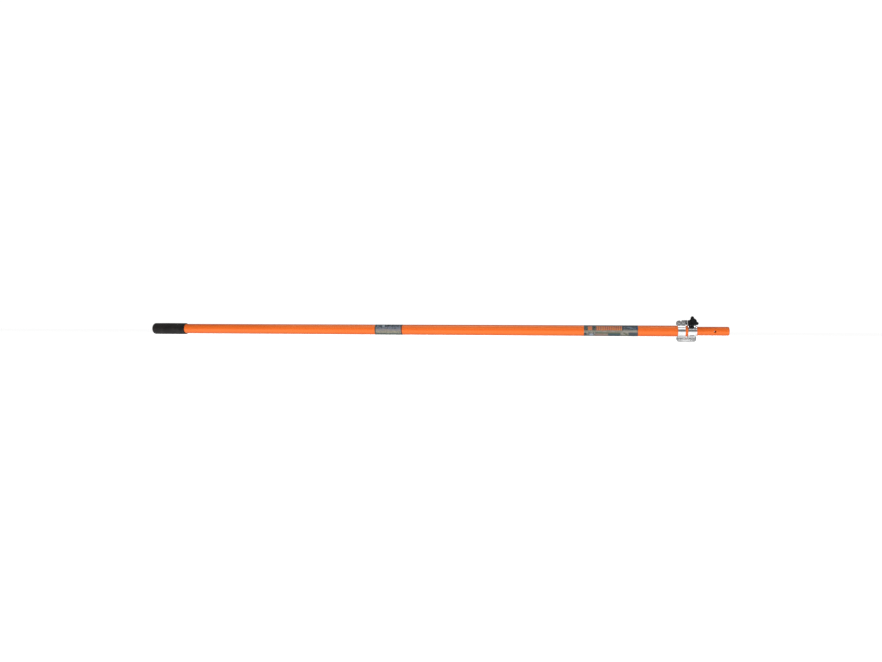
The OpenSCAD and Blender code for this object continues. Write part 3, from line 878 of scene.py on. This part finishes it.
def clamp_knob():
    """The moulded three-lobed knob: rounded lobes that run into a hub, a dished face with a plain cap."""
    across, hub_across = 32.5 * MM, 21.5 * MM
    first_lobe, lobes, lobe_r, neck_r = math.radians(98), 3, 4.5 * MM, 7.4 * MM
    reach = across / 2 - lobe_r
    hub_r = hub_across / 2
    front, seat = -knob_low.y, -knob_high.y
    head_t = 10.8 * MM
    back = front - head_t
    insert_r, cap_t = 5.05 * MM, 4.5 * MM

    def outline(angle):
        """The head's radius: the hub, joined smoothly to each lobe's flank and round end."""
        total, sharpness = 0.0, 0.9 / MM
        radii = [hub_r]
        for i in range(lobes):
            off = (angle - first_lobe - 2 * math.pi * i / lobes + math.pi) % (2 * math.pi) - math.pi
            if abs(math.sin(off)) * reach < lobe_r and math.cos(off) > 0:
                radii.append(reach * math.cos(off) + math.sqrt(lobe_r ** 2 - (reach * math.sin(off)) ** 2))
        for radius in radii:
            total += math.exp(sharpness * (radius - hub_r))
        return hub_r + math.log(total) / sharpness

    def ring(inset, height):
        return lambda angle: (outline(angle) - inset, height)

    edge, under = 2.2 * MM, 1.2 * MM
    loops = [(0, front - 1.15 * MM), (4.6 * MM, front - 1.0 * MM), (5.6 * MM, front - 0.75 * MM),
             (5.9 * MM, front - 1.25 * MM), (6.3 * MM, front - 1.25 * MM), (6.7 * MM, front - 0.45 * MM),
             (8.2 * MM, front - 0.05 * MM)]
    for a in range(0, 91, 15):
        turn = math.radians(a)
        loops.append(ring(edge * (1 - math.sin(turn)), front - edge * (1 - math.cos(turn)) * 0.9))
    loops += [ring(0.25 * MM * i, front - edge - (head_t - edge - under) * i / 4) for i in range(1, 5)]
    for a in range(0, 91, 30):
        turn = math.radians(a)
        loops.append(ring(1.0 * MM + under * (1 - math.cos(turn)), back + under * (1 - math.sin(turn))))
    loops += [(neck_r + 0.8 * MM, back), (neck_r + 0.2 * MM, back - 0.25 * MM), (neck_r, back - 0.9 * MM),
              (neck_r, seat + 0.5 * MM), (neck_r - 0.5 * MM, seat), (insert_r, seat),
              (insert_r, front - cap_t), (0, front - cap_t)]
    piece("clamp_knob_fine", rings(loops, 192, to_front(knob_x, knob_z)), "knob", "knob",
          "clamp_knob")


outer_tube()
inner_tube()
hand_grip()
film_overlap("main_label", "main label")
film_overlap("size_label", "size label")
clamp_shells()
for number, turn in ((1, 10), (2, 35)):
    hex_bolt(f"band_bolt_{number}_fine", f"band_bolt_{number}", math.radians(turn))
    hex_nut(f"band_nut_{number}_fine", f"band_nut_{number}", math.radians(turn + 5))
    washer(f"band_washer_{number}_fine", f"band_washer_{number}", "outer_pole", 2.65 * MM)
    rivet(f"shell_rivet_{number}_fine", f"shell_rivet_{number}")
knob_bolt()
washer("knob_washer_fine", "knob_washer", "washer", 3.1 * MM)
clamp_knob()


# ------------------------------------------------------------------ stage, lights and camera

# How bright the floor and the surround are, to the camera, to glossy reflections and as light
FLOOR_GLOW, FLOOR_MIRRORED, FLOOR_LIGHT = 0.80, 1.20, 1.45
SURROUND_SEEN, SURROUND_MIRRORED, SURROUND_LIGHT = 1.05, 0.20, 0.20


def by_ray(tree, kind, shader, others):
    """One shader to rays of a kind, such as Is Camera Ray, and another to all the rest."""
    ray = tree.nodes.new("ShaderNodeLightPath")
    pick = tree.nodes.new("ShaderNodeMixShader")
    tree.links.new(ray.outputs[kind], pick.inputs[0])
    tree.links.new(others, pick.inputs[1])
    tree.links.new(shader, pick.inputs[2])
    return pick.outputs[0]


def glow(tree, kind, strength):
    """A plain white Background or Emission."""
    node = tree.nodes.new(kind)
    node.inputs["Color"].default_value = (1, 1, 1, 1)
    node.inputs["Strength"].default_value = strength
    return node.outputs[0]


def floor():
    """A plain pale floor at the object's lowest point, which glosses mirror as a bright sheet."""
    half = 30
    mesh = bpy.data.meshes.new("floor")
    z = cad_low.z - 0.1 * MM
    corners = [(sx * half, sy * half, z) for sx, sy in ((-1, -1), (1, -1), (1, 1), (-1, 1))]
    mesh.from_pydata(corners, [], [(0, 1, 2, 3)])
    plane = bpy.data.objects.new("floor", mesh)
    bpy.context.scene.collection.objects.link(plane)
    p = Paint("pale_floor")
    p.set(Base_Color=(0.86, 0.86, 0.86, 1), Roughness=0.9, Specular_IOR_Level=0.1,
          Emission_Color=(1, 1, 1, 1), Emission_Strength=FLOOR_GLOW)
    tree = p.tree
    away = p.math("ABSOLUTE", p.axes()[1])
    # How bright it is away from the pole, and how far the pole shades it near by
    sheets = {"Is Diffuse Ray": (p.span(away, 0.05, 0.50, FLOOR_LIGHT, SURROUND_LIGHT),
                                 p.span(away, 0.012, 0.040, 0.18, 1.0)),
              "Is Glossy Ray": (p.span(away, 0.05, 0.30, FLOOR_MIRRORED, SURROUND_MIRRORED),
                                p.span(away, 0.004, 0.030, 0.60, 1.0))}
    surface = p.shader.outputs[0]
    for kind, (strength, shaded) in sheets.items():
        sheet = tree.nodes.new("ShaderNodeEmission")
        tree.links.new(p.math("MULTIPLY", strength, shaded), sheet.inputs["Strength"])
        surface = by_ray(tree, kind, sheet.outputs[0], surface)
    tree.links.new(surface, tree.nodes["Material Output"].inputs["Surface"])
    mesh.materials.append(p.material)


def world():
    """White to the camera, and a grey surround to everything else."""
    made = bpy.data.worlds.new("studio")
    bpy.context.scene.world = made
    made.use_nodes = True
    tree = made.node_tree
    tree.nodes.remove(tree.nodes["Background"])
    kinds = {"Is Glossy Ray": SURROUND_MIRRORED, "Is Camera Ray": SURROUND_SEEN}
    surface = glow(tree, "ShaderNodeBackground", SURROUND_LIGHT)
    for kind, strength in kinds.items():
        surface = by_ray(tree, kind, glow(tree, "ShaderNodeBackground", strength), surface)
    tree.links.new(surface, tree.nodes["World Output"].inputs["Surface"])


def softbox(name, place, target, size, power, mirrored=True, lights=True):
    """A soft panel that glossy surfaces may mirror, that may light matt ones, and that is never seen."""
    light = bpy.data.lights.new(name, "AREA")
    light.shape = "RECTANGLE"
    light.size, light.size_y = size
    light.energy = power
    lamp = bpy.data.objects.new(name, light)
    lamp.location = place
    lamp.rotation_euler = (Vector(target) - Vector(place)).to_track_quat("-Z", "Y").to_euler()
    lamp.visible_camera = False
    lamp.visible_glossy = mirrored
    lamp.visible_diffuse = lights
    bpy.context.scene.collection.objects.link(lamp)


def camera():
    """Level with the pole, in front and turned towards the butt, which is further off than the tip."""
    distance, along, turn = 2.023, 1.4224, 11.93
    focal_px, width_px, tilt_px, roll = 668, 882, -1.1, -0.29
    cam = bpy.data.cameras.new("camera")
    cam.sensor_width = 36
    cam.lens = cam.sensor_width * focal_px / width_px
    cam.clip_start, cam.clip_end = 0.05, 100
    eye = bpy.data.objects.new("camera", cam)
    eye.location = (along, -distance, 0)
    level = Matrix.Rotation(math.radians(turn), 4, "Z") @ Matrix.Rotation(math.radians(90), 4, "X")
    tilt = Matrix.Rotation(math.atan(tilt_px / focal_px), 4, "X")
    rolled = Matrix.Rotation(math.radians(-roll), 4, "Z")
    eye.matrix_world = Matrix.Translation(eye.location) @ level @ tilt @ rolled
    bpy.context.scene.collection.objects.link(eye)
    bpy.context.scene.camera = eye


middle_x = (cad_low.x + cad_high.x) / 2
aim = (middle_x, 0, 0)
floor()
world()
softbox("front fill", (middle_x, -3.2, 0.30), aim, (3.6, 0.6), 50, mirrored=False)
softbox("back fill", (middle_x, 3.2, 0.9), aim, (3.6, 1.0), 35, mirrored=False)
softbox("top fill", (middle_x, 0.4, 2.6), aim, (3.4, 1.0), 11, mirrored=False)
softbox("overhead", (middle_x, 0.05, 2.6), aim, (3.4, 1.0), 24, lights=False)
softbox("overhead front", (middle_x, -1.9, 1.9), aim, (3.4, 1.1), 13, lights=False)
camera()
bpy.context.scene.view_settings.view_transform = "Standard"
